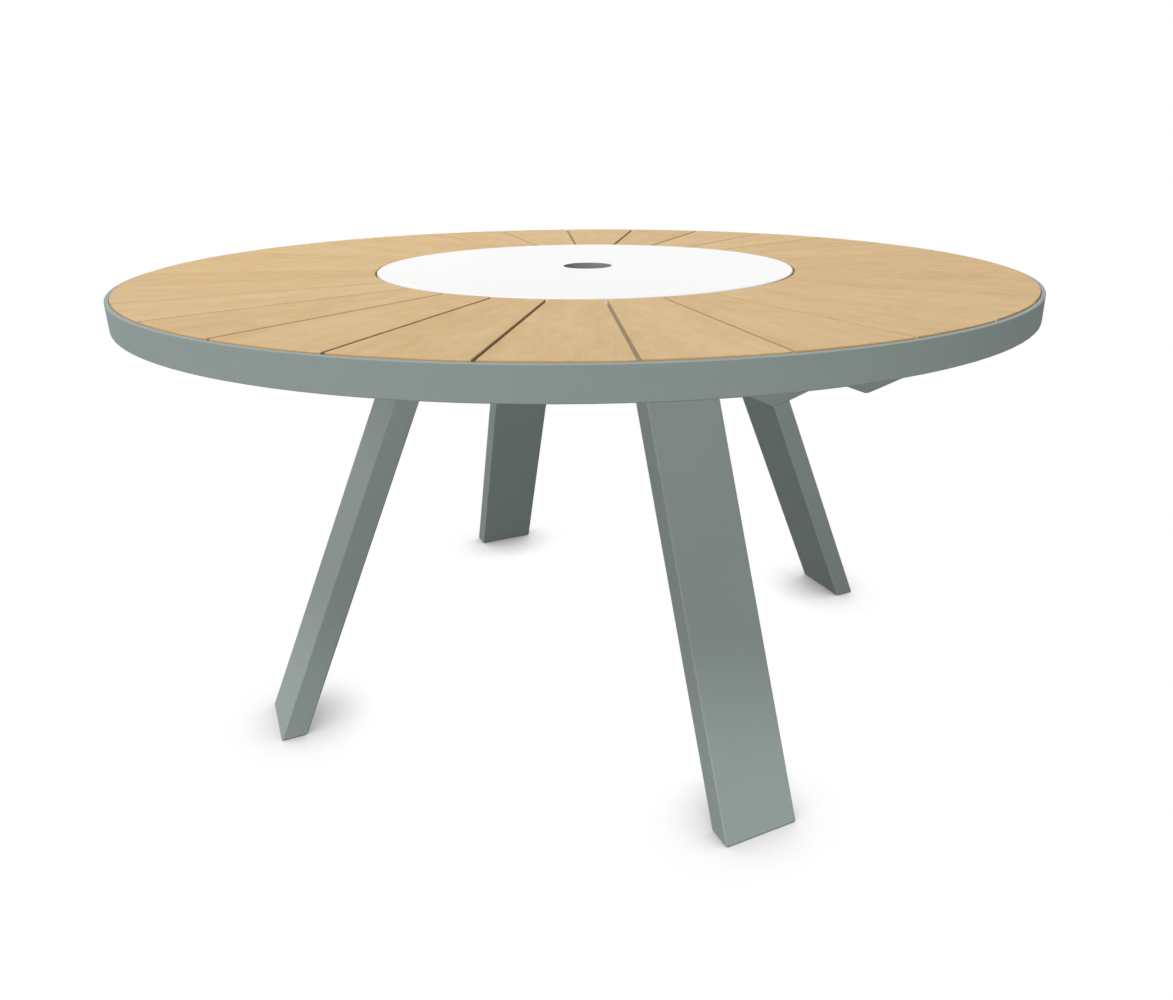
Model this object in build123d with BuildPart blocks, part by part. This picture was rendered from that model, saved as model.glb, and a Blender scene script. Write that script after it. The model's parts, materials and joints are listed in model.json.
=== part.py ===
"""Round patio table with a slatted wooden top and a turning disc in the middle.

Millimetres, +Z up. The origin is on the floor, under the centre of the top.
The four legs stand on the diagonals of X and Y.
"""
import os
from math import asin, atan2, cos, degrees, radians, sin

from build123d import *

# Top
TOP_HEIGHT = 740.0
TOP_RADIUS = 725.0
RIM_HEIGHT = 40.0
RIM_WALL = 6.0
RIM_EDGE = 1.0

# Slats
SLAT_COUNT = 28
SLAT_THICKNESS = 20.0
SLAT_PROUD = 2.0
SLAT_SEAM = 4.5
SLAT_END_GAP = 0.8
SLAT_EDGE = 1.2

# Turning disc, and the liner of its hole
DISC_RADIUS = 348.5
DISC_THICKNESS = 10.0
DISC_PROUD = 1.0
DISC_GAP = 3.0
DISC_EDGE = 1.5
DISC_BORE_RADIUS = 42.0
LINER_WALL = 1.5
LINER_FLANGE_WIDTH = 12.0
LINER_FLANGE_THICKNESS = 2.0
LINER_FIT_CLEARANCE = 0.05
LINER_SLEEVE_GAP = 2.0

# Depth of the frame below the wood, and the rings on it that carry the slats
FRAME_DROP = 27.0
OUTER_RING_WIDTH = 60.0
INNER_RING_WIDTH = 56.0
INNER_RING_REACH = 6.0
RING_WELD_GAP = 0.1

# Arms, hub and parasol sleeve
ARM_WALL = 6.0
ARM_DEPTH = 46.0
ARM_BEND_RADIUS = 8.0
ARM_TIP_INSET = 56.0
ARM_RIM_GAP = 0.3
HUB_WALL = 6.0
HUB_MARGIN = 4.0
SLEEVE_WALL = 4.0
SLEEVE_LENGTH = 80.0
SLEEVE_RISE = 4.0
SLEEVE_WELD_GAP = 0.1

# Legs, their top plates and their foot plugs
LEG_COUNT = 4
FIRST_LEG_ANGLE = 45.0
LEG_WIDTH = 120.0
LEG_DEPTH = 38.0
LEG_WALL = 4.0
LEG_CORNER_RADIUS = 2.5
LEG_TOP_RADIUS = 278.0
LEG_FOOT_RADIUS = 579.0
LEG_SIDE_CLEARANCE = 0.5
LEG_PLATE_LENGTH = 130.0
LEG_PLATE_THICKNESS = 8.0
FOOT_THICKNESS = 2.0
FOOT_INSET = 1.5
FOOT_SPIGOT_HEIGHT = 25.0
FOOT_SPIGOT_WALL = 4.0
FOOT_FIT_CLEARANCE = 0.3

# Bearing under the disc
BALL_COUNT = 32
BALL_RADIUS = 3.5
BALL_CIRCLE_RADIUS = 175.0
BALL_CLEARANCE = 0.05
GROOVE_DEPTH = 1.0
RACE_THICKNESS = 4.0
RACE_LAND = 10.0
RACE_FLANGE = 32.0
RACE_SCREW_OFFSET = 22.0
RACE_SCREW_SPREAD = 20.0
CAGE_WIDTH = 16.0
CAGE_THICKNESS = 2.4
CAGE_CLEARANCE = 0.2

# Fasteners
FASTENER_CLEARANCE = 0.15
LEG_BOLT_RADIUS = 4.0
LEG_BOLT_HEAD_RADIUS = 6.5
LEG_BOLT_HEAD_HEIGHT = 8.0
LEG_BOLT_SOCKET_RADIUS = 3.4
LEG_BOLT_SOCKET_DEPTH = 4.0
LEG_BOLT_INSET = 15.0
SLAT_SCREW_RADIUS = 2.25
SLAT_SCREW_HEAD_RADIUS = 4.5
SLAT_SCREW_BITE = 13.0
SLAT_SCREW_INSET = 28.0
SLAT_SCREW_SPREAD = 80.0
SCREW_ACCESS_RADIUS = 7.0
FIXED_SCREW_RADIUS = 2.5
FIXED_SCREW_HEAD_RADIUS = 5.0
TURNING_SCREW_RADIUS = 2.0
TURNING_SCREW_HEAD_RADIUS = 4.0
TURNING_SCREW_BITE = 7.0

# Levels above the floor
rim_top = TOP_HEIGHT - SLAT_PROUD
rim_bottom = rim_top - RIM_HEIGHT
slat_bottom = TOP_HEIGHT - SLAT_THICKNESS
frame_top = TOP_HEIGHT - FRAME_DROP
web_bottom = frame_top - ARM_WALL
arm_bottom = frame_top - ARM_DEPTH
leg_top = web_bottom - LEG_PLATE_THICKNESS
disc_top = TOP_HEIGHT + DISC_PROUD
disc_bottom = disc_top - DISC_THICKNESS
turning_race_bottom = disc_bottom - RACE_THICKNESS
ball_level = turning_race_bottom - BALL_RADIUS + GROOVE_DEPTH
fixed_race_top = ball_level - BALL_RADIUS + GROOVE_DEPTH
sleeve_top = frame_top + SLEEVE_RISE

# Radii of the round pieces
rim_inner = TOP_RADIUS - RIM_WALL
slat_outer = rim_inner - SLAT_END_GAP
slat_inner = DISC_RADIUS + DISC_GAP
outer_ring_outer = rim_inner - RING_WELD_GAP
outer_ring_inner = outer_ring_outer - OUTER_RING_WIDTH
inner_ring_inner = slat_inner - INNER_RING_REACH
inner_ring_outer = inner_ring_inner + INNER_RING_WIDTH
mast_radius = DISC_BORE_RADIUS - LINER_WALL
sleeve_outer = mast_radius + SLEEVE_WALL

# Arms, hub and legs
arm_inner_width = LEG_WIDTH + 2 * LEG_SIDE_CLEARANCE
arm_width = arm_inner_width + 2 * ARM_WALL
arm_end = rim_inner - ARM_RIM_GAP
arm_tip = rim_inner - ARM_TIP_INSET
hub_width = arm_width + 2 * HUB_MARGIN
leg_lean = atan2(LEG_FOOT_RADIUS - LEG_TOP_RADIUS, leg_top)
leg_names = ["rear_right", "rear_left", "front_left", "front_right"]
leg_angles = [FIRST_LEG_ANGLE + step * 360 / LEG_COUNT for step in range(LEG_COUNT)]

# Fasteners
slat_step = 360 / SLAT_COUNT
slat_screw_inner = slat_inner + SLAT_SCREW_INSET
slat_screw_outer = slat_outer - SLAT_SCREW_INSET
slat_screw_half_angle = degrees(asin(SLAT_SCREW_SPREAD / 2 / slat_screw_outer))
slat_screw_length = slat_bottom - frame_top + SLAT_SCREW_BITE
leg_bolt_length = LEG_PLATE_THICKNESS + ARM_WALL
leg_bolt_reach = LEG_PLATE_LENGTH / 2 - LEG_BOLT_INSET
leg_bolt_side = LEG_WIDTH / 2 - LEG_BOLT_INSET
fixed_screw_circle = BALL_CIRCLE_RADIUS + RACE_SCREW_OFFSET
fixed_screw_length = fixed_race_top - web_bottom
turning_screw_circle = BALL_CIRCLE_RADIUS - RACE_SCREW_OFFSET
turning_screw_length = RACE_THICKNESS + TURNING_SCREW_BITE


def polar(radius, angle):
    """Point of the plan at a radius and an angle."""
    return (radius * cos(radians(angle)), radius * sin(radians(angle)))


def ring(outer, inner, bottom, top):
    """Flat round ring with a square section."""
    with BuildPart() as body:
        with BuildSketch(Plane.XY.offset(bottom)):
            Circle(outer)
            Circle(inner, mode=Mode.SUBTRACT)
        extrude(amount=top - bottom)
    return body.part


def countersunk(shank, head, length, clearance=0.0):
    """Countersunk screw along +Z with the face of its head at zero, or the hole that it goes in."""
    with BuildPart() as screw:
        with BuildSketch(Plane.XZ):
            with BuildLine():
                Polyline(
                    (0, 0),
                    (head + clearance, 0),
                    (shank + clearance, head - shank),
                    (shank + clearance, length + clearance),
                    (0, length + clearance),
                    close=True,
                )
            make_face()
        revolve(axis=Axis.Z)
    return screw.part


def copies(piece, places, height, tilt=0.0):
    """Separate copies of one piece at places of the plan, all at one height, tilted about X."""
    with BuildPart() as group:
        with Locations(*[Location((x, y, height), (tilt, 0, 0)) for x, y in places]):
            add(piece)
    return group.part


def turned(piece, angle):
    """Copy of a piece, turned about the table's axis."""
    with BuildPart() as copy:
        with Locations(Location((0, 0, 0), (0, 0, angle))):
            add(piece)
    return copy.part


def finish(piece, name):
    """Label a finished piece and write it."""
    piece.label = name
    export_step(piece, f"parts/{name}.step")


os.makedirs("parts", exist_ok=True)

# Places of the screws: three to a slat, and two on each arm or bay of the bearing
one_slat_screw_places = [
    polar(slat_screw_inner, 0),
    polar(slat_screw_outer, -slat_screw_half_angle),
    polar(slat_screw_outer, slat_screw_half_angle),
]
slat_angles = [FIRST_LEG_ANGLE + index * slat_step for index in range(SLAT_COUNT)]
inner_slat_screw_places = [polar(slat_screw_inner, angle) for angle in slat_angles]
outer_slat_screw_places = [
    polar(slat_screw_outer, angle + side * slat_screw_half_angle)
    for angle in slat_angles
    for side in (-1, 1)
]
fixed_screw_places = [
    polar(fixed_screw_circle, angle + side * RACE_SCREW_SPREAD / 2)
    for angle in leg_angles
    for side in (-1, 1)
]
turning_screw_places = [
    polar(turning_screw_circle, angle + 180 / LEG_COUNT + side * RACE_SCREW_SPREAD / 2)
    for angle in leg_angles
    for side in (-1, 1)
]
one_leg_bolt_places = [
    (LEG_TOP_RADIUS + radial * leg_bolt_reach, side * leg_bolt_side)
    for radial in (-1, 1)
    for side in (-1, 1)
]


# Rim band round the top
with BuildPart() as rim_band:
    add(ring(TOP_RADIUS, rim_inner, rim_bottom, rim_top))
    fillet(rim_band.edges().filter_by(GeomType.CIRCLE), RIM_EDGE)
finish(rim_band.part, "rim_band")


# Keystone slat, bounded by two seams and by the arcs of the disc and the rim
def slat_corner(radius):
    """Angle of a slat's corner at a radius, half a seam in from the line between two slats."""
    return slat_step / 2 - degrees(asin(SLAT_SEAM / 2 / radius))


def slat_arc(radius):
    """End of a slat, an arc from corner to corner."""
    corner = slat_corner(radius)
    return ThreePointArc(polar(radius, -corner), polar(radius, 0), polar(radius, corner))


with BuildPart() as slat:
    with BuildSketch(Plane.XY.offset(slat_bottom)):
        with BuildLine():
            inner_arc = slat_arc(slat_inner)
            outer_arc = slat_arc(slat_outer)
            Line(inner_arc @ 0, outer_arc @ 0)
            Line(inner_arc @ 1, outer_arc @ 1)
        make_face()
    extrude(amount=SLAT_THICKNESS)
    fillet(slat.faces().sort_by(Axis.Z)[-1].edges(), SLAT_EDGE)
    with BuildSketch(Plane.XY.offset(slat_bottom)):
        with Locations(*one_slat_screw_places):
            Circle(SLAT_SCREW_RADIUS + FASTENER_CLEARANCE)
    extrude(amount=SLAT_SCREW_BITE + FASTENER_CLEARANCE, mode=Mode.SUBTRACT)
for index, slat_angle in enumerate(slat_angles):
    finish(turned(slat.part, slat_angle), f"slat_{index + 1:02d}")


# Rings that carry the ends of the slats, countersunk from below for the slat screws
slat_screw_hole = countersunk(
    SLAT_SCREW_RADIUS, SLAT_SCREW_HEAD_RADIUS, slat_screw_length, FASTENER_CLEARANCE
)
with BuildPart() as outer_slat_ring:
    add(ring(outer_ring_outer, outer_ring_inner, frame_top, slat_bottom))
    add(copies(slat_screw_hole, outer_slat_screw_places, frame_top), mode=Mode.SUBTRACT)
finish(outer_slat_ring.part, "outer_slat_ring")

with BuildPart() as inner_slat_ring:
    add(ring(inner_ring_outer, inner_ring_inner, frame_top, slat_bottom))
    add(copies(slat_screw_hole, inner_slat_screw_places, frame_top), mode=Mode.SUBTRACT)
finish(inner_slat_ring.part, "inner_slat_ring")

slat_screw = countersunk(SLAT_SCREW_RADIUS, SLAT_SCREW_HEAD_RADIUS, slat_screw_length)
finish(copies(slat_screw, inner_slat_screw_places + outer_slat_screw_places, frame_top), "slat_screws")


# Arm along +X: an inverted channel from the hub to the rim, with a slanted outer end
with BuildPart() as arm:
    with BuildSketch(Plane.YZ.offset(hub_width / 2)):
        with Locations((0, frame_top - ARM_DEPTH / 2)):
            channel = Rectangle(arm_width, ARM_DEPTH)
        fillet(channel.vertices().group_by(Axis.Y)[-1], ARM_BEND_RADIUS)
        with Locations((0, arm_bottom + (ARM_DEPTH - ARM_WALL) / 2)):
            Rectangle(arm_inner_width, ARM_DEPTH - ARM_WALL, mode=Mode.SUBTRACT)
    extrude(amount=TOP_RADIUS - hub_width / 2)
    with BuildSketch(Plane.XY.offset(arm_bottom)):
        Circle(arm_end)
    extrude(amount=ARM_DEPTH, mode=Mode.INTERSECT)
    with BuildSketch(Plane.XZ):
        with BuildLine():
            Polyline(
                (arm_tip, arm_bottom),
                (arm_end, rim_bottom),
                (TOP_RADIUS, rim_bottom),
                (TOP_RADIUS, arm_bottom),
                close=True,
            )
        make_face()
    extrude(amount=arm_width / 2, both=True, mode=Mode.SUBTRACT)
    with BuildSketch(Plane.XY.offset(web_bottom)):
        with Locations(*one_leg_bolt_places):
            Circle(LEG_BOLT_RADIUS + FASTENER_CLEARANCE)
        with Locations(*one_slat_screw_places):
            Circle(SCREW_ACCESS_RADIUS)
        with Locations(*[polar(fixed_screw_circle, side * RACE_SCREW_SPREAD / 2) for side in (-1, 1)]):
            Circle(FIXED_SCREW_RADIUS + FASTENER_CLEARANCE)
    extrude(amount=ARM_WALL, mode=Mode.SUBTRACT)

# Plate on top of a leg, bolted up into its arm
with BuildPart() as leg_plate:
    with BuildSketch(Plane.XY.offset(leg_top)):
        with Locations((LEG_TOP_RADIUS, 0)):
            Rectangle(LEG_PLATE_LENGTH, LEG_WIDTH)
        with Locations(*one_leg_bolt_places):
            Circle(LEG_BOLT_RADIUS + FASTENER_CLEARANCE, mode=Mode.SUBTRACT)
    extrude(amount=LEG_PLATE_THICKNESS)


def leg_radius(height):
    """Radius of a leg's centre line at a height above the floor."""
    return LEG_FOOT_RADIUS + (LEG_TOP_RADIUS - LEG_FOOT_RADIUS) * height / leg_top


def leaning(inset, bottom, top, corner):
    """Block that follows the lean of a leg, inset all round from its outside, with rounded long edges."""
    rise = Vector(leg_radius(top) - leg_radius(bottom), 0, top - bottom)
    with BuildPart() as block:
        with BuildSketch(Plane.XY.offset(bottom)):
            with Locations((leg_radius(bottom), 0)):
                Rectangle((LEG_DEPTH - 2 * inset) / cos(leg_lean), LEG_WIDTH - 2 * inset)
        extrude(amount=rise.length, dir=rise)
        level_edges = block.edges().filter_by(Plane.XY)
        fillet([edge for edge in block.edges() if edge not in level_edges], corner)
    return block.part


# Leg along +X: a leaning tube, cut level at both ends
with BuildPart() as leg:
    add(leaning(0, FOOT_THICKNESS, leg_top, LEG_CORNER_RADIUS))
    add(leaning(LEG_WALL, FOOT_THICKNESS, leg_top, LEG_CORNER_RADIUS), mode=Mode.SUBTRACT)

# Plug in the bottom of a leg, whose sole stands on the floor
spigot_inset = LEG_WALL + FOOT_FIT_CLEARANCE
spigot_top = FOOT_THICKNESS + FOOT_SPIGOT_HEIGHT
with BuildPart() as foot_plug:
    add(leaning(FOOT_INSET, 0, FOOT_THICKNESS, LEG_CORNER_RADIUS))
    add(leaning(spigot_inset, FOOT_THICKNESS, spigot_top, LEG_CORNER_RADIUS))
    add(
        leaning(spigot_inset + FOOT_SPIGOT_WALL, FOOT_THICKNESS, spigot_top, LEG_CORNER_RADIUS),
        mode=Mode.SUBTRACT,
    )

for leg_name, leg_angle in zip(leg_names, leg_angles):
    finish(turned(arm.part, leg_angle), f"arm_{leg_name}")
    finish(turned(leg_plate.part, leg_angle), f"leg_plate_{leg_name}")
    finish(turned(leg.part, leg_angle), f"leg_{leg_name}")
    finish(turned(foot_plug.part, leg_angle), f"foot_plug_{leg_name}")

# Socket head bolt, along +Z with the seat of its head at zero
with BuildPart() as leg_bolt:
    with BuildSketch(Plane.XY):
        Circle(LEG_BOLT_RADIUS)
    extrude(amount=leg_bolt_length)
    with BuildSketch(Plane.XY):
        Circle(LEG_BOLT_HEAD_RADIUS)
    extrude(amount=-LEG_BOLT_HEAD_HEIGHT)
    with BuildSketch(Plane.XY.offset(-LEG_BOLT_HEAD_HEIGHT)):
        RegularPolygon(LEG_BOLT_SOCKET_RADIUS, 6)
    extrude(amount=LEG_BOLT_SOCKET_DEPTH, mode=Mode.SUBTRACT)
one_leg_bolts = copies(leg_bolt.part, one_leg_bolt_places, leg_top)
with BuildPart() as leg_bolts:
    for leg_angle in leg_angles:
        add(turned(one_leg_bolts, leg_angle))
finish(leg_bolts.part, "leg_bolts")


# Square hub between the arms, open below, and the parasol sleeve through it
with BuildPart() as hub:
    with BuildSketch(Plane.XY.offset(arm_bottom)):
        Rectangle(hub_width, hub_width, rotation=FIRST_LEG_ANGLE)
    extrude(amount=ARM_DEPTH)
    with BuildSketch(Plane.XY.offset(arm_bottom)):
        Rectangle(hub_width - 2 * HUB_WALL, hub_width - 2 * HUB_WALL, rotation=FIRST_LEG_ANGLE)
    extrude(amount=ARM_DEPTH - HUB_WALL, mode=Mode.SUBTRACT)
    with BuildSketch(Plane.XY.offset(frame_top - HUB_WALL)):
        Circle(sleeve_outer + SLEEVE_WELD_GAP)
    extrude(amount=HUB_WALL, mode=Mode.SUBTRACT)
finish(hub.part, "hub")

finish(ring(sleeve_outer, mast_radius, sleeve_top - SLEEVE_LENGTH, sleeve_top), "parasol_sleeve")


# White disc, with pilot holes for the screws of its race
turning_screw = countersunk(TURNING_SCREW_RADIUS, TURNING_SCREW_HEAD_RADIUS, turning_screw_length)
turning_screw_hole = countersunk(
    TURNING_SCREW_RADIUS, TURNING_SCREW_HEAD_RADIUS, turning_screw_length, FASTENER_CLEARANCE
)
with BuildPart() as turntable_disc:
    add(ring(DISC_RADIUS, DISC_BORE_RADIUS, disc_bottom, disc_top))
    fillet(turntable_disc.edges().filter_by(GeomType.CIRCLE).group_by(SortBy.RADIUS)[-1], DISC_EDGE)
    add(copies(turning_screw_hole, turning_screw_places, turning_race_bottom), mode=Mode.SUBTRACT)
finish(turntable_disc.part, "turntable_disc")

# Liner of the disc's hole, with a flange under the disc and a skirt down to the sleeve
liner_outer = DISC_BORE_RADIUS - LINER_FIT_CLEARANCE
with BuildPart() as hole_liner:
    add(ring(liner_outer, mast_radius, sleeve_top + LINER_SLEEVE_GAP, disc_top))
    add(
        ring(
            liner_outer + LINER_FLANGE_WIDTH,
            mast_radius,
            disc_bottom - LINER_FLANGE_THICKNESS,
            disc_bottom,
        )
    )
finish(hole_liner.part, "hole_liner")


# Groove that the balls run in, shared by both races
with BuildPart() as ball_track:
    with BuildSketch(Plane.XZ):
        with Locations((BALL_CIRCLE_RADIUS, ball_level)):
            Circle(BALL_RADIUS + BALL_CLEARANCE)
    revolve(axis=Axis.Z)

with BuildPart() as turning_race:
    add(
        ring(
            BALL_CIRCLE_RADIUS + RACE_LAND,
            BALL_CIRCLE_RADIUS - RACE_FLANGE,
            turning_race_bottom,
            disc_bottom,
        )
    )
    add(ball_track.part, mode=Mode.SUBTRACT)
    add(copies(turning_screw_hole, turning_screw_places, turning_race_bottom), mode=Mode.SUBTRACT)
finish(turning_race.part, "turning_race")
finish(copies(turning_screw, turning_screw_places, turning_race_bottom), "turning_race_screws")

fixed_screw = countersunk(FIXED_SCREW_RADIUS, FIXED_SCREW_HEAD_RADIUS, fixed_screw_length)
fixed_screw_hole = countersunk(
    FIXED_SCREW_RADIUS, FIXED_SCREW_HEAD_RADIUS, fixed_screw_length, FASTENER_CLEARANCE
)
with BuildPart() as fixed_race:
    add(
        ring(
            BALL_CIRCLE_RADIUS + RACE_FLANGE,
            BALL_CIRCLE_RADIUS - RACE_LAND,
            frame_top,
            fixed_race_top,
        )
    )
    add(ball_track.part, mode=Mode.SUBTRACT)
    add(copies(fixed_screw_hole, fixed_screw_places, fixed_race_top, tilt=180), mode=Mode.SUBTRACT)
finish(fixed_race.part, "fixed_race")
finish(copies(fixed_screw, fixed_screw_places, fixed_race_top, tilt=180), "fixed_race_screws")

# Balls, and the cage that spaces them
with BuildPart() as bearing_balls:
    with Locations((0, 0, ball_level)):
        with PolarLocations(BALL_CIRCLE_RADIUS, BALL_COUNT):
            Sphere(BALL_RADIUS)
finish(bearing_balls.part, "bearing_balls")

with BuildPart() as ball_cage:
    with BuildSketch(Plane.XY.offset(ball_level - CAGE_THICKNESS / 2)):
        Circle(BALL_CIRCLE_RADIUS + CAGE_WIDTH / 2)
        Circle(BALL_CIRCLE_RADIUS - CAGE_WIDTH / 2, mode=Mode.SUBTRACT)
        with PolarLocations(BALL_CIRCLE_RADIUS, BALL_COUNT):
            Circle(BALL_RADIUS + CAGE_CLEARANCE, mode=Mode.SUBTRACT)
    extrude(amount=CAGE_THICKNESS)
finish(ball_cage.part, "ball_cage")
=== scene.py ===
import json
import math

import bmesh
import bpy
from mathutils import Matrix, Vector


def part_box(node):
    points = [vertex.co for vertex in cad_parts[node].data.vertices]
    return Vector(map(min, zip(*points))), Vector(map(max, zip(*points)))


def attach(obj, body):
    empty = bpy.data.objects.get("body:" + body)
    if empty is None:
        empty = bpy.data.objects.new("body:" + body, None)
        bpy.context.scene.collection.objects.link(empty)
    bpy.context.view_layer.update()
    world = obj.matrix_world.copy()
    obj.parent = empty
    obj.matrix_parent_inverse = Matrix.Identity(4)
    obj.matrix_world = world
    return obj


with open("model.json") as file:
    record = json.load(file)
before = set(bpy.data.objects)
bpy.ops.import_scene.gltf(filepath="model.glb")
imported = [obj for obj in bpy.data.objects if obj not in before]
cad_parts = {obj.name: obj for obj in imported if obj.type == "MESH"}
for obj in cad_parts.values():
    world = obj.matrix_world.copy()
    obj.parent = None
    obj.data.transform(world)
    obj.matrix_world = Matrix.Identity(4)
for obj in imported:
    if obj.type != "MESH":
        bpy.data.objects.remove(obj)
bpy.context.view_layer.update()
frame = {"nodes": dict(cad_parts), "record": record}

# Photograph: size of the picture, and the camera worked out from the circles of the top and the four legs
PICTURE_WIDTH = 1173
PICTURE_HEIGHT = 1000
FOCAL_PIXELS = 889.94
CENTRE_PIXEL = (640.03, 482.03)
CAMERA_DISTANCE = 1.5639
CAMERA_RISE = 0.1937
CAMERA_BEARING = 21.853
CAMERA_YAW = 3.305
CAMERA_PITCH = 20.707
SENSOR_WIDTH = 36.0

# Table, from the frame
TOP_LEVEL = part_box("slat_01")[1].z
SLAT_THICKNESS = TOP_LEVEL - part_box("slat_01")[0].z
SLAT_COUNT = sum(1 for name in frame["nodes"] if name.startswith("slat_") and name != "slat_screws")
SLAT_STEP = math.tau / SLAT_COUNT
FIRST_SLAT_ANGLE = math.radians(45)
LEG_NAMES = [name.removeprefix("arm_") for name in frame["nodes"] if name.startswith("arm_")]
UP = Vector((0, 0, 1))

# Weld beads under the top, and two sizes of the solids that they lie on
BEAD_RADIUS = 0.0026
BEAD_SIDES = 8
BEAD_STEP = 0.0008
BEAD_RIPPLE_LENGTH = 0.0032
BEAD_RIPPLE_DEPTH = 0.14
SLEEVE_BEAD_POINTS = 120
ARM_BEND_RADIUS = 0.008
HUB_TOP_WALL = 0.006

# Colours, as linear light
PAINT = (0.288, 0.341, 0.327)
WOOD_DARK = (0.548, 0.371, 0.193)
WOOD_LIGHT = (0.670, 0.497, 0.284)
# Colour of the pores, also used as painted shade on the lower sides of the slats
WOOD_PORE_AND_SIDE_SHADE = (0.352, 0.219, 0.108)
# Pale colour of the upper slat sides: painted light, standing in for light that falls into the seams
WOOD_SIDE_PAINTED_LIGHT = (0.810, 0.705, 0.550)
WOOD_END = (0.570, 0.355, 0.163)
LAMINATE = (0.845, 0.845, 0.841)
LINER = (0.320, 0.320, 0.318)
STEEL = (0.560, 0.565, 0.570)
NYLON_BLACK = (0.020, 0.021, 0.022)
NYLON_PALE = (0.720, 0.700, 0.640)
FLOOR = (0.500, 0.500, 0.500)

# Paint: soft clouds of tint, and a fine skin (texture scales are per metre, heights in metres)
PAINT_CLOUD_SCALE = 9.0
PAINT_TINT = 0.02
PAINT_SKIN_SCALE = 520.0
PAINT_SKIN_HEIGHT = 0.00012
PAINT_SKIN_STRENGTH = 0.35
PAINT_ROUGHNESS = (0.62, 0.72)
PAINT_GLOSS = 0.08

# Wood: length and width of each pattern in metres, and its share in the grain's tone
FIGURE_SIZE = (0.34, 0.030)
FIGURE_SHARE = 0.7
FIBRE_SIZE = (0.060, 0.0022)
FIBRE_SHARE = 0.6
CLOUD_SIZE = (0.11, 0.07)
CLOUD_SHARE = 0.6
MOTTLE_SIZE = (0.034, 0.018)
MOTTLE_SHARE = 0.9
SLAT_SHARE = 0.25
PORE_SIZE = (0.012, 0.0011)
PORE_STOPS = [(0.66, 0.0), (0.76, 0.35)]
PORE_DEPTH = 0.8
SLAT_SHIFT = (7.0, 3.0)
WOOD_ROUGHNESS = (0.74, 0.90)
WOOD_GLOSS = 0.12
WOOD_RELIEF = 0.0002
WOOD_RELIEF_STRENGTH = 0.5

# Sides and ends of a slat: how squarely a face looks that way, and how the colour of the sides changes from the top
# (0) down (1): painted light on the upper sides and painted shade on the lower sides
FACING_STOPS = [(0.5, 0.0), (0.9, 1.0)]
# Painted light: the slat sides turn pale just below the top
PAINTED_SIDE_LIGHT_STOPS = [(0.04, 0.0), (0.16, 0.9)]
# Painted shade: the slat sides turn dark further down
PAINTED_SIDE_SHADE_STOPS = [(0.45, 0.0), (0.75, 0.85)]
END_SHARE = 0.8

# Laminate
LAMINATE_CLOUD_SCALE = 5.0
LAMINATE_TINT = 0.006
LAMINATE_TEXTURE_SCALE = 900.0
LAMINATE_TEXTURE_HEIGHT = 0.00006
LAMINATE_TEXTURE_STRENGTH = 0.3
LAMINATE_ROUGHNESS = (0.50, 0.60)
LAMINATE_GLOSS = 0.12

# Metals with turned scratches, and nylons
TURNED_SCALE = (60, 60, 2400)
METALS = {
    "liner_grey": {"colour": LINER, "metallic": 0.35, "roughness": (0.42, 0.54), "scratch": 0.05},
    "steel": {"colour": STEEL, "metallic": 1.0, "roughness": (0.24, 0.36), "scratch": 0.04},
}
NYLONS = {"foot_plastic": NYLON_BLACK, "cage_nylon": NYLON_PALE}
NYLON_GRAIN_SCALE = 1400.0
NYLON_GRAIN_HEIGHT = 0.0001
NYLON_GRAIN_STRENGTH = 0.4
NYLON_TINT = 0.08
NYLON_ROUGHNESS = (0.50, 0.62)

# Floor, how far the shade at the feet reaches, and the share of open sky from which it shows white
FLOOR_HALF_SIZE = 12.0
FLOOR_ROUGHNESS = 0.9
FLOOR_SHADE_REACH = 0.11
FLOOR_WHITE_FROM = 0.95

# Height that the lamps are aimed at
LAMP_TARGET = 0.52
SUN_DISTANCE = 5.0

# Light, each lamp at a bearing from the photograph's camera seen from the table: distant lamps, of which only the key
# casts shadows and leaves highlights, and soft round lamps
DISTANT_LAMPS = {
    "key": {"bearing": -16.0, "elevation": 65.5, "width": 16.0, "level": 0.435, "shadow": True},
    "fill": {"bearing": -16.0, "elevation": 52.0, "width": 20.0, "level": 0.65, "shadow": False},
    "rear": {"bearing": 165.0, "elevation": 15.0, "width": 20.0, "level": 0.185, "shadow": False},
}
ROUND_LAMPS = {
    "left": {"bearing": -80.0, "elevation": 28.0, "distance": 5.0, "size": 1.9, "power": 34.0},
    "over": {"bearing": -122.0, "elevation": 56.6, "distance": 2.18, "size": 1.0, "power": 3.6},
}


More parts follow.
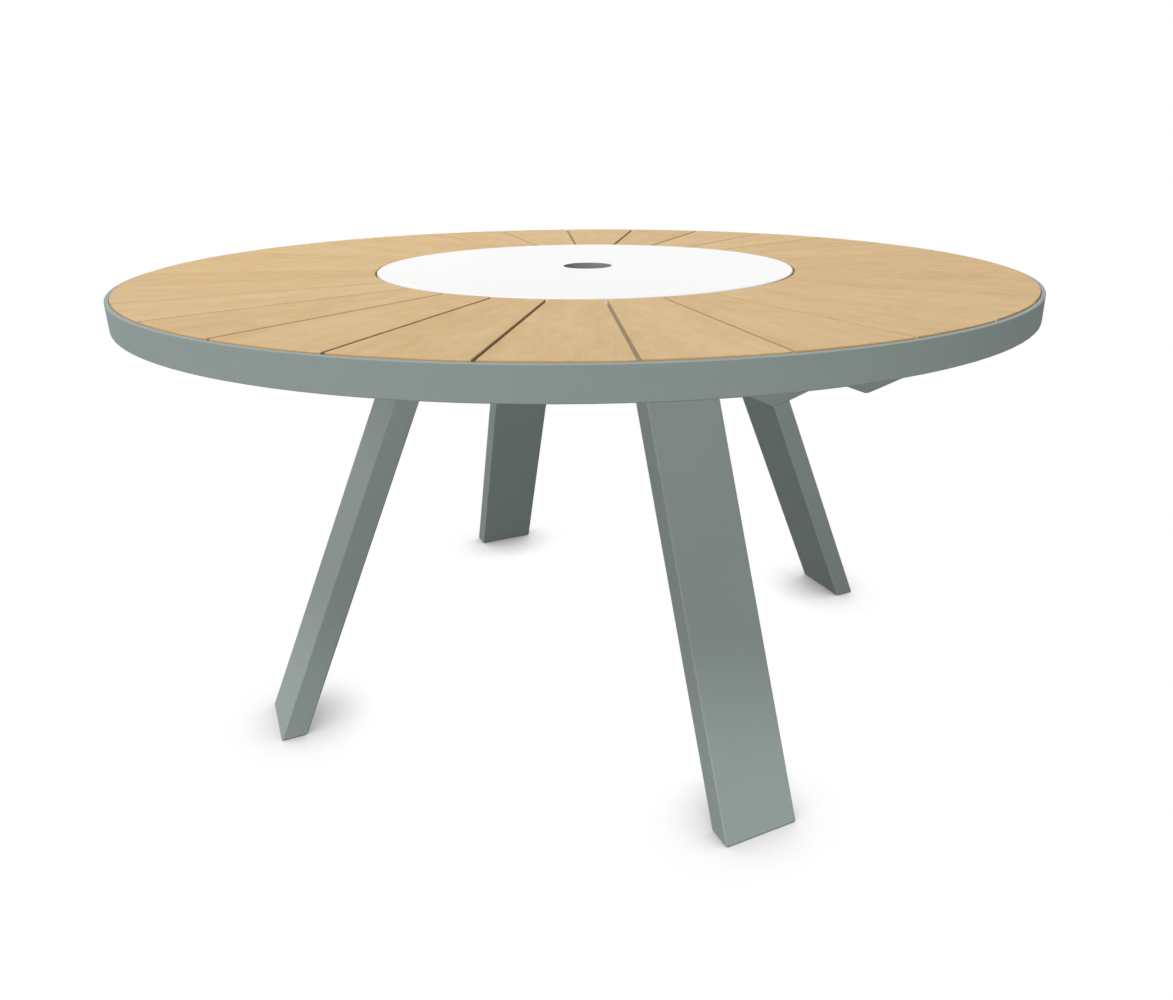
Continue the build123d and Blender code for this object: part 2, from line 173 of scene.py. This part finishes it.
class Shader:
    """A new material with its principled shader, and short ways to add and join nodes."""

    def __init__(self, name):
        self.material = bpy.data.materials.new(name)
        self.material.use_nodes = True
        self.tree = self.material.node_tree
        self.principled = self.tree.nodes["Principled BSDF"]

    def add(self, kind, settings=(), **inputs):
        """Adds a node, sets its properties and gives its named inputs a value or a socket."""
        node = self.tree.nodes.new("ShaderNode" + kind)
        for key, value in dict(settings).items():
            setattr(node, key, value)
        for key, value in inputs.items():
            self.put(node.inputs[key.replace("_", " ")], value)
        return node

    def put(self, socket, value):
        """Gives an input a constant, or joins another node's output to it."""
        if isinstance(value, bpy.types.NodeSocket):
            self.tree.links.new(value, socket)
        else:
            socket.default_value = value

    def math(self, operation, *values):
        """Arithmetic on numbers or sockets."""
        node = self.add("Math", {"operation": operation})
        for socket, value in zip(node.inputs, values):
            self.put(socket, value)
        return node.outputs[0]

    def between(self, factor, limits):
        """Number between two limits, by a factor from 0 to 1."""
        return self.add("MapRange", Value=factor, To_Min=limits[0], To_Max=limits[1]).outputs[0]

    def ramp(self, factor, stops):
        """Colour or grey ramp between stops of (place, colour)."""
        node = self.add("ValToRGB", Fac=factor)
        elements = node.color_ramp.elements
        while len(elements) < len(stops):
            elements.new(0.5)
        for element, (place, colour) in zip(elements, stops):
            element.position = place
            element.color = (*colour, 1) if isinstance(colour, tuple) else (colour, colour, colour, 1)
        return node.outputs["Color"]

    def mix(self, factor, first, second):
        """Mix of two colours."""
        node = self.add("Mix", {"data_type": "RGBA"})
        self.put(node.inputs["Factor"], factor)
        for socket, value in zip((node.inputs[6], node.inputs[7]), (first, second)):
            self.put(socket, (*value, 1) if isinstance(value, tuple) else value)
        return node.outputs[2]

    def noise(self, vector, scale, detail=3.0, roughness=0.5):
        """Soft noise between 0 and 1."""
        node = self.add("TexNoise", Vector=vector, Scale=scale, Detail=detail, Roughness=roughness)
        return node.outputs["Fac"]

    def bump(self, height, distance, strength):
        """Bumps the surface by a height field."""
        node = self.add("Bump", Height=height, Distance=distance, Strength=strength)
        self.put(self.principled.inputs["Normal"], node.outputs["Normal"])

    def set(self, **inputs):
        """Sets inputs of the principled shader."""
        for key, value in inputs.items():
            value = (*value, 1) if isinstance(value, tuple) else value
            self.put(self.principled.inputs[key.replace("_", " ")], value)

    def place(self):
        """Position on the piece, in metres."""
        return self.add("TexCoord").outputs["Object"]


def tint(colour, amount):
    """A darker and a lighter tint of a colour."""
    darker = tuple(channel * (1 - amount) for channel in colour)
    lighter = tuple(min(1.0, channel * (1 + amount)) for channel in colour)
    return darker, lighter


def paint_material():
    """Satin powder coat: an even colour with a fine orange-peel skin."""
    shader = Shader("frame_paint")
    place = shader.place()
    cloud = shader.noise(place, PAINT_CLOUD_SCALE)
    skin = shader.noise(place, PAINT_SKIN_SCALE, 2.0)
    shader.set(
        Base_Color=shader.mix(cloud, *tint(PAINT, PAINT_TINT)),
        Roughness=shader.between(skin, PAINT_ROUGHNESS),
        Specular_IOR_Level=PAINT_GLOSS,
    )
    shader.bump(skin, PAINT_SKIN_HEIGHT, PAINT_SKIN_STRENGTH)
    return shader.material


def slat_position(shader):
    """Position and facing in a slat's own frame, with X along the slat, and a random number for each slat."""
    place = shader.place()
    parts = shader.add("SeparateXYZ", Vector=place)
    angle = shader.math("ARCTAN2", parts.outputs["Y"], parts.outputs["X"])
    steps = shader.math("DIVIDE", shader.math("SUBTRACT", angle, FIRST_SLAT_ANGLE), SLAT_STEP)
    number = shader.math("ROUND", steps)
    turn = shader.math("MULTIPLY_ADD", number, -SLAT_STEP, -FIRST_SLAT_ANGLE)
    normal = shader.add("NewGeometry").outputs["Normal"]
    along = shader.add("VectorRotate", {"rotation_type": "Z_AXIS"}, Vector=place, Angle=turn).outputs[0]
    facing = shader.add("VectorRotate", {"rotation_type": "Z_AXIS"}, Vector=normal, Angle=turn).outputs[0]
    random = shader.add("TexWhiteNoise", {"noise_dimensions": "1D"}, W=number).outputs["Value"]
    return along, facing, random


def wood_material():
    """Oiled hardwood: grain along each slat, pores, painted light on the upper slat sides and painted shade on the
    lower ones, end grain, and a tone for each slat.
    """
    shader = Shader("hardwood")
    along, facing, random = slat_position(shader)
    facing = shader.add("SeparateXYZ", Vector=facing)
    shift_x, shift_y = (shader.math("MULTIPLY", random, shift) for shift in SLAT_SHIFT)
    moved = shader.add("VectorMath", {"operation": "ADD"})
    shader.put(moved.inputs[0], along)
    shader.put(moved.inputs[1], shader.add("CombineXYZ", X=shift_x, Y=shift_y).outputs[0])

    def pattern(size, detail, roughness=0.5):
        """Noise of a length and width along each slat."""
        length, width = size
        scale = (1 / length, 1 / width, 1 / width)
        board = shader.add("Mapping", Vector=moved.outputs[0], Scale=scale).outputs[0]
        return shader.noise(board, 1.0, detail, roughness)

    def faces(axis, amount):
        """An amount on the faces that look along an axis of the slat, either way."""
        squarely = shader.ramp(shader.math("ABSOLUTE", facing.outputs[axis]), FACING_STOPS)
        return shader.math("MULTIPLY", squarely, amount)

    fibre = pattern(FIBRE_SIZE, 3.0, 0.6)
    parts = (
        (pattern(FIGURE_SIZE, 4.0, 0.55), FIGURE_SHARE),
        (fibre, FIBRE_SHARE),
        (pattern(CLOUD_SIZE, 2.0), CLOUD_SHARE),
        (pattern(MOTTLE_SIZE, 3.0, 0.6), MOTTLE_SHARE),
        (random, SLAT_SHARE),
    )
    grain = 0.5
    for noise, share in parts:
        grain = shader.math("ADD", grain, shader.math("MULTIPLY_ADD", noise, share, -share / 2))
    level = shader.add("SeparateXYZ", Vector=along).outputs["Z"]
    depth = shader.math("DIVIDE", shader.math("SUBTRACT", TOP_LEVEL, level), SLAT_THICKNESS)
    pores = shader.ramp(pattern(PORE_SIZE, 1.0), PORE_STOPS)
    colour = shader.ramp(grain, [(0.0, WOOD_DARK), (1.0, WOOD_LIGHT)])
    # Painted light: the upper slat sides are paler, as if lit inside the seams
    colour = shader.mix(faces("Y", shader.ramp(depth, PAINTED_SIDE_LIGHT_STOPS)), colour, WOOD_SIDE_PAINTED_LIGHT)
    # Painted shade: the lower slat sides are darkened towards the pore colour
    colour = shader.mix(faces("Y", shader.ramp(depth, PAINTED_SIDE_SHADE_STOPS)), colour, WOOD_PORE_AND_SIDE_SHADE)
    colour = shader.mix(faces("X", END_SHARE), colour, WOOD_END)
    shader.set(
        Base_Color=shader.mix(pores, colour, WOOD_PORE_AND_SIDE_SHADE),
        Roughness=shader.between(fibre, WOOD_ROUGHNESS),
        Specular_IOR_Level=WOOD_GLOSS,
    )
    relief = shader.math("SUBTRACT", fibre, shader.math("MULTIPLY", pores, PORE_DEPTH))
    shader.bump(relief, WOOD_RELIEF, WOOD_RELIEF_STRENGTH)
    return shader.material


def laminate_material():
    """White compact laminate with a fine matt texture."""
    shader = Shader("disc_white")
    place = shader.place()
    cloud = shader.noise(place, LAMINATE_CLOUD_SCALE)
    texture = shader.noise(place, LAMINATE_TEXTURE_SCALE, 2.0)
    shader.set(
        Base_Color=shader.mix(cloud, *tint(LAMINATE, LAMINATE_TINT)),
        Roughness=shader.between(texture, LAMINATE_ROUGHNESS),
        Specular_IOR_Level=LAMINATE_GLOSS,
    )
    shader.bump(texture, LAMINATE_TEXTURE_HEIGHT, LAMINATE_TEXTURE_STRENGTH)
    return shader.material


def metal_material(name, colour, metallic, roughness, scratch):
    """Metal with fine turned scratches, bare or, where less metallic, with a matt coat."""
    shader = Shader(name)
    turned = shader.add("Mapping", Vector=shader.place(), Scale=TURNED_SCALE).outputs[0]
    lines = shader.noise(turned, 1.0, 2.0)
    shader.set(
        Base_Color=shader.mix(lines, *tint(colour, scratch)),
        Metallic=metallic,
        Roughness=shader.between(lines, roughness),
    )
    return shader.material


def nylon_material(name, colour):
    """Moulded nylon with a fine grain."""
    shader = Shader(name)
    grain = shader.noise(shader.place(), NYLON_GRAIN_SCALE, 2.0)
    shader.set(
        Base_Color=shader.mix(grain, *tint(colour, NYLON_TINT)),
        Roughness=shader.between(grain, NYLON_ROUGHNESS),
    )
    shader.bump(grain, NYLON_GRAIN_HEIGHT, NYLON_GRAIN_STRENGTH)
    return shader.material


def slot_materials():
    """Material of each slot."""
    materials = {
        "frame_paint": paint_material(),
        "hardwood": wood_material(),
        "disc_white": laminate_material(),
    }
    for name, metal in METALS.items():
        materials[name] = metal_material(name, **metal)
    for name, colour in NYLONS.items():
        materials[name] = nylon_material(name, colour)
    return materials


def dress(materials):
    """Gives every node of the frame the material of its slot."""
    for subpart in frame["record"]["subparts"]:
        mesh = frame["nodes"][subpart["node"]].data
        mesh.materials.clear()
        mesh.materials.append(materials[subpart["material_slot"]])


def span(node, axis, above=0.0):
    """Least and greatest reach along an axis, of a node's points above a level."""
    points = [vertex.co for vertex in frame["nodes"][node].data.vertices]
    reaches = [point.dot(axis) for point in points if point.z >= above]
    return min(reaches), max(reaches)


def ring_radii(node):
    """Inner and outer radius of a ring round the table's axis."""
    radii = [vertex.co.xy.length for vertex in frame["nodes"][node].data.vertices]
    return min(radii), max(radii)


def circle(radius, level, count):
    """Points spaced evenly round the Z axis."""
    angles = [math.tau * index / count for index in range(count)]
    return [Vector((radius * math.cos(angle), radius * math.sin(angle), level)) for angle in angles]


def stepped(points):
    """Points an even step apart along a line through the given points."""
    places = [points[0]]
    for start, end in zip(points, points[1:]):
        count = max(1, round((end - start).length / BEAD_STEP))
        places += [start.lerp(end, (index + 1) / count) for index in range(count)]
    return places


def add_bead(builder, points):
    """Rippled weld bead along a line, closed at both ends."""
    places = stepped(points)
    rings = []
    for index, place in enumerate(places):
        ahead = places[min(index + 1, len(places) - 1)] - places[max(index - 1, 0)]
        turn = ahead.to_track_quat("Z", "Y")
        ripple = abs(math.sin(math.pi * index * BEAD_STEP / BEAD_RIPPLE_LENGTH))
        radius = BEAD_RADIUS * (1 - BEAD_RIPPLE_DEPTH * (1 - ripple))
        rings.append([builder.verts.new(place + turn @ corner) for corner in circle(radius, 0, BEAD_SIDES)])
    for ring, following in zip(rings, rings[1:]):
        for side in range(BEAD_SIDES):
            beside = (side + 1) % BEAD_SIDES
            builder.faces.new((ring[side], ring[beside], following[beside], following[side]))
    builder.faces.new(reversed(rings[0]))
    builder.faces.new(rings[-1])


def add_arm_beads(builder, name):
    """Beads of one arm: to the hub, to both slat rings, and of its leg to the leg's plate."""
    low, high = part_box("arm_" + name)
    outward = Vector((low.x + high.x, low.y + high.y, 0)).normalized()
    sideways = UP.cross(outward)

    def spot(reach, side, level):
        """Point at a reach along the arm, to one side of it, at a level."""
        return outward * reach + sideways * side + UP * level

    plate_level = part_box("leg_plate_" + name)[0].z
    leg_half = span("leg_" + name, sideways)[1] - BEAD_RADIUS
    for reach in span("leg_" + name, outward, plate_level - BEAD_STEP):
        add_bead(builder, [spot(reach, -leg_half, plate_level), spot(reach, leg_half, plate_level)])
    hub_face = span("arm_" + name, outward)[0]
    bend_level = high.z - ARM_BEND_RADIUS
    for side in span("arm_" + name, sideways):
        add_bead(builder, [spot(hub_face, side, low.z), spot(hub_face, side, bend_level)])
        inset = side - math.copysign(BEAD_RADIUS, side)
        for ring in ("inner_slat_ring", "outer_slat_ring"):
            ends = [math.sqrt(radius ** 2 - side ** 2) for radius in ring_radii(ring)]
            add_bead(builder, [spot(reach, inset, high.z - BEAD_RADIUS / 2) for reach in ends])


def add_welds(paint):
    """Painted weld beads that join the arms, hub, sleeve, rings and leg plates."""
    builder = bmesh.new()
    for name in LEG_NAMES:
        add_arm_beads(builder, name)
    sleeve_radius = ring_radii("parasol_sleeve")[1]
    sleeve_points = circle(sleeve_radius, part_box("hub")[1].z - HUB_TOP_WALL, SLEEVE_BEAD_POINTS)
    add_bead(builder, sleeve_points + sleeve_points[:1])
    for face in builder.faces:
        face.smooth = True
    mesh = bpy.data.meshes.new("weld_beads")
    builder.to_mesh(mesh)
    builder.free()
    mesh.materials.append(paint)
    welds = bpy.data.objects.new("weld_beads", mesh)
    bpy.context.scene.collection.objects.link(welds)
    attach(welds, "table")


def add_camera():
    """Camera of the photograph."""
    bearing = math.radians(CAMERA_BEARING)
    heading = math.radians(CAMERA_BEARING - CAMERA_YAW)
    pitch = math.radians(CAMERA_PITCH)
    data = bpy.data.cameras.new("camera")
    data.sensor_fit = "HORIZONTAL"
    data.sensor_width = SENSOR_WIDTH
    data.lens = FOCAL_PIXELS / PICTURE_WIDTH * SENSOR_WIDTH
    data.shift_x = (PICTURE_WIDTH / 2 - CENTRE_PIXEL[0]) / PICTURE_WIDTH
    data.shift_y = (CENTRE_PIXEL[1] - PICTURE_HEIGHT / 2) / PICTURE_WIDTH
    camera = bpy.data.objects.new("camera", data)
    camera.location = (
        CAMERA_DISTANCE * math.sin(bearing),
        -CAMERA_DISTANCE * math.cos(bearing),
        TOP_LEVEL + CAMERA_RISE,
    )
    level = math.cos(pitch)
    forward = Vector((-math.sin(heading) * level, math.cos(heading) * level, -math.sin(pitch)))
    camera.rotation_euler = forward.to_track_quat("-Z", "Y").to_euler()
    bpy.context.scene.collection.objects.link(camera)
    bpy.context.scene.camera = camera


def background_ray(tree):
    """Socket that is 1 for rays that show the background: from the camera, in gloss and through glass."""
    path = tree.nodes.new("ShaderNodeLightPath")
    total = path.outputs["Is Camera Ray"]
    for output in ("Is Glossy Ray", "Is Transmission Ray"):
        larger = tree.nodes.new("ShaderNodeMath")
        larger.operation = "MAXIMUM"
        tree.links.new(total, larger.inputs[0])
        tree.links.new(path.outputs[output], larger.inputs[1])
        total = larger.outputs[0]
    return total


def add_world():
    """White surroundings that show but give no light of their own: the lamps do that."""
    world = bpy.data.worlds.new("studio")
    world.use_nodes = True
    tree = world.node_tree
    background = tree.nodes["Background"]
    background.inputs["Color"].default_value = (1, 1, 1, 1)
    tree.links.new(background_ray(tree), background.inputs["Strength"])
    bpy.context.scene.world = world


def add_floor():
    """Pale floor that shows white with a soft shade at the feet, and is clear from below."""
    half = FLOOR_HALF_SIZE
    mesh = bpy.data.meshes.new("floor")
    mesh.from_pydata([(-half, -half, 0), (half, -half, 0), (half, half, 0), (-half, half, 0)], [], [(0, 1, 2, 3)])
    shader = Shader("floor")
    shader.set(Base_Color=FLOOR, Roughness=FLOOR_ROUGHNESS, Specular_IOR_Level=0.0)
    shade = shader.add("AmbientOcclusion", Distance=FLOOR_SHADE_REACH).outputs["AO"]
    white = shader.add("MapRange", Value=shade, From_Max=FLOOR_WHITE_FROM)
    shown = shader.add("MixShader", Fac=background_ray(shader.tree))
    shader.put(shown.inputs[1], shader.principled.outputs["BSDF"])
    shader.put(shown.inputs[2], shader.add("Emission", Strength=white.outputs[0]).outputs["Emission"])
    clear = shader.add("MixShader", Fac=shader.add("NewGeometry").outputs["Backfacing"])
    shader.put(clear.inputs[1], shown.outputs[0])
    shader.put(clear.inputs[2], shader.add("BsdfTransparent").outputs[0])
    shader.put(shader.tree.nodes["Material Output"].inputs["Surface"], clear.outputs[0])
    mesh.materials.append(shader.material)
    floor = bpy.data.objects.new("floor", mesh)
    bpy.context.scene.collection.objects.link(floor)


def direction(bearing, elevation):
    """Direction from the table at a bearing from the photograph's camera and a height above level, in degrees."""
    turn = math.radians(CAMERA_BEARING + bearing)
    rise = math.radians(elevation)
    return Vector((math.sin(turn) * math.cos(rise), -math.cos(turn) * math.cos(rise), math.sin(rise)))


def add_lamp(name, kind, bearing, elevation, distance):
    """Lamp out in a direction, aimed at the middle of the table."""
    away = direction(bearing, elevation)
    data = bpy.data.lights.new(name, kind)
    lamp = bpy.data.objects.new(name, data)
    lamp.location = Vector((0, 0, LAMP_TARGET)) + away * distance
    lamp.rotation_euler = (-away).to_track_quat("-Z", "Y").to_euler()
    lamp.visible_camera = False
    bpy.context.scene.collection.objects.link(lamp)
    return lamp


def add_lamps():
    """Key from the upper left, fills from the front and the back, and soft lamps on the left and over the back."""
    for name, lamp in DISTANT_LAMPS.items():
        sun = add_lamp(name, "SUN", lamp["bearing"], lamp["elevation"], SUN_DISTANCE)
        sun.data.energy = lamp["level"] * math.pi
        sun.data.angle = math.radians(lamp["width"])
        sun.data.use_shadow = lamp["shadow"]
        sun.visible_glossy = lamp["shadow"]
    for name, lamp in ROUND_LAMPS.items():
        disk = add_lamp(name, "AREA", lamp["bearing"], lamp["elevation"], lamp["distance"])
        disk.data.shape = "DISK"
        disk.data.size = lamp["size"]
        disk.data.energy = lamp["power"]


materials = slot_materials()
dress(materials)
add_welds(materials["frame_paint"])
add_camera()
add_world()
add_floor()
add_lamps()
bpy.context.scene.view_settings.view_transform = "Standard"
